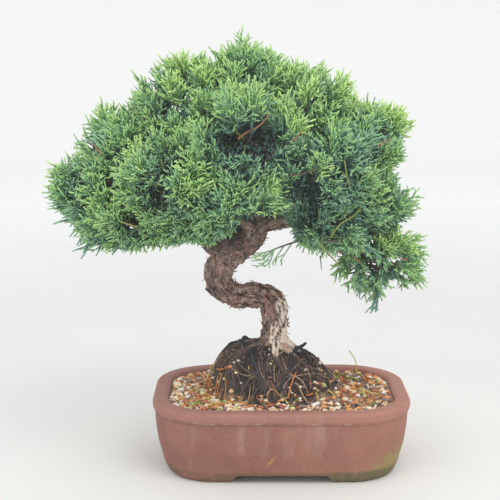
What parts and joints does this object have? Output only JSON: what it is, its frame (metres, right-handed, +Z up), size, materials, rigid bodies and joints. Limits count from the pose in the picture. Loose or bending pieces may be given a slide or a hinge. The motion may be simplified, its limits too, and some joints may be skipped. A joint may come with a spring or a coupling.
{
  "type": "potted chinese juniper bonsai",
  "caption": "Potted Chinese juniper bonsai with an S-curved trunk on an exposed root mound, a domed crown of scale foliage, and an unglazed footed pot with round corners.",
  "frame": {"origin": "on the ground, under the middle of the plant's bounding box", "axes": "+Z up along the plant's height, -Y towards the viewer of its front, +X to the viewer's right"},
  "size_m": [0.2972, 0.2108, 0.35],
  "materials": {
    "stoneware": "unglazed matt red-brown stoneware with pale scuffs",
    "soil": "dark root mound in a bed of coarse gravel and bark chips",
    "bark": "fibrous red-brown bark that peels in strips",
    "foliage": "matt scale foliage, dark inside with bright tips"
  },
  "bodies": {
    "root": {"bough_back_high": "bark", "bough_back_left": "bark", "bough_back_low": "bark", "bough_back_right": "bark", "bough_front_high": "bark", "bough_front_left": "bark", "bough_front_low": "bark", "bough_left_high": "bark", "bough_left_low": "bark", "bough_left_tip": "bark", "bough_low_mid": "bark", "bough_right_front": "bark", "bough_right_high": "bark", "bough_right_inner": "bark", "bough_right_low": "bark", "bough_right_tip": "bark", "bough_upper_left": "bark", "bough_upper_right": "bark", "bough_wisp": "bark", "foliage_back_high": "foliage", "foliage_back_left": "foliage", "foliage_back_low": "foliage", "foliage_back_right": "foliage", "foliage_crown_top": "foliage", "foliage_front_high": "foliage", "foliage_front_left": "foliage", "foliage_front_low": "foliage", "foliage_left_high": "foliage", "foliage_left_low": "foliage", "foliage_left_tip": "foliage", "foliage_low_mid": "foliage", "foliage_right_front": "foliage", "foliage_right_high": "foliage", "foliage_right_inner": "foliage", "foliage_right_low": "foliage", "foliage_right_tip": "foliage", "foliage_upper_left": "foliage", "foliage_upper_right": "foliage", "foliage_wisp": "foliage", "pot": "stoneware", "soil": "soil", "trunk": "bark"}
  },
  "joints": []
}
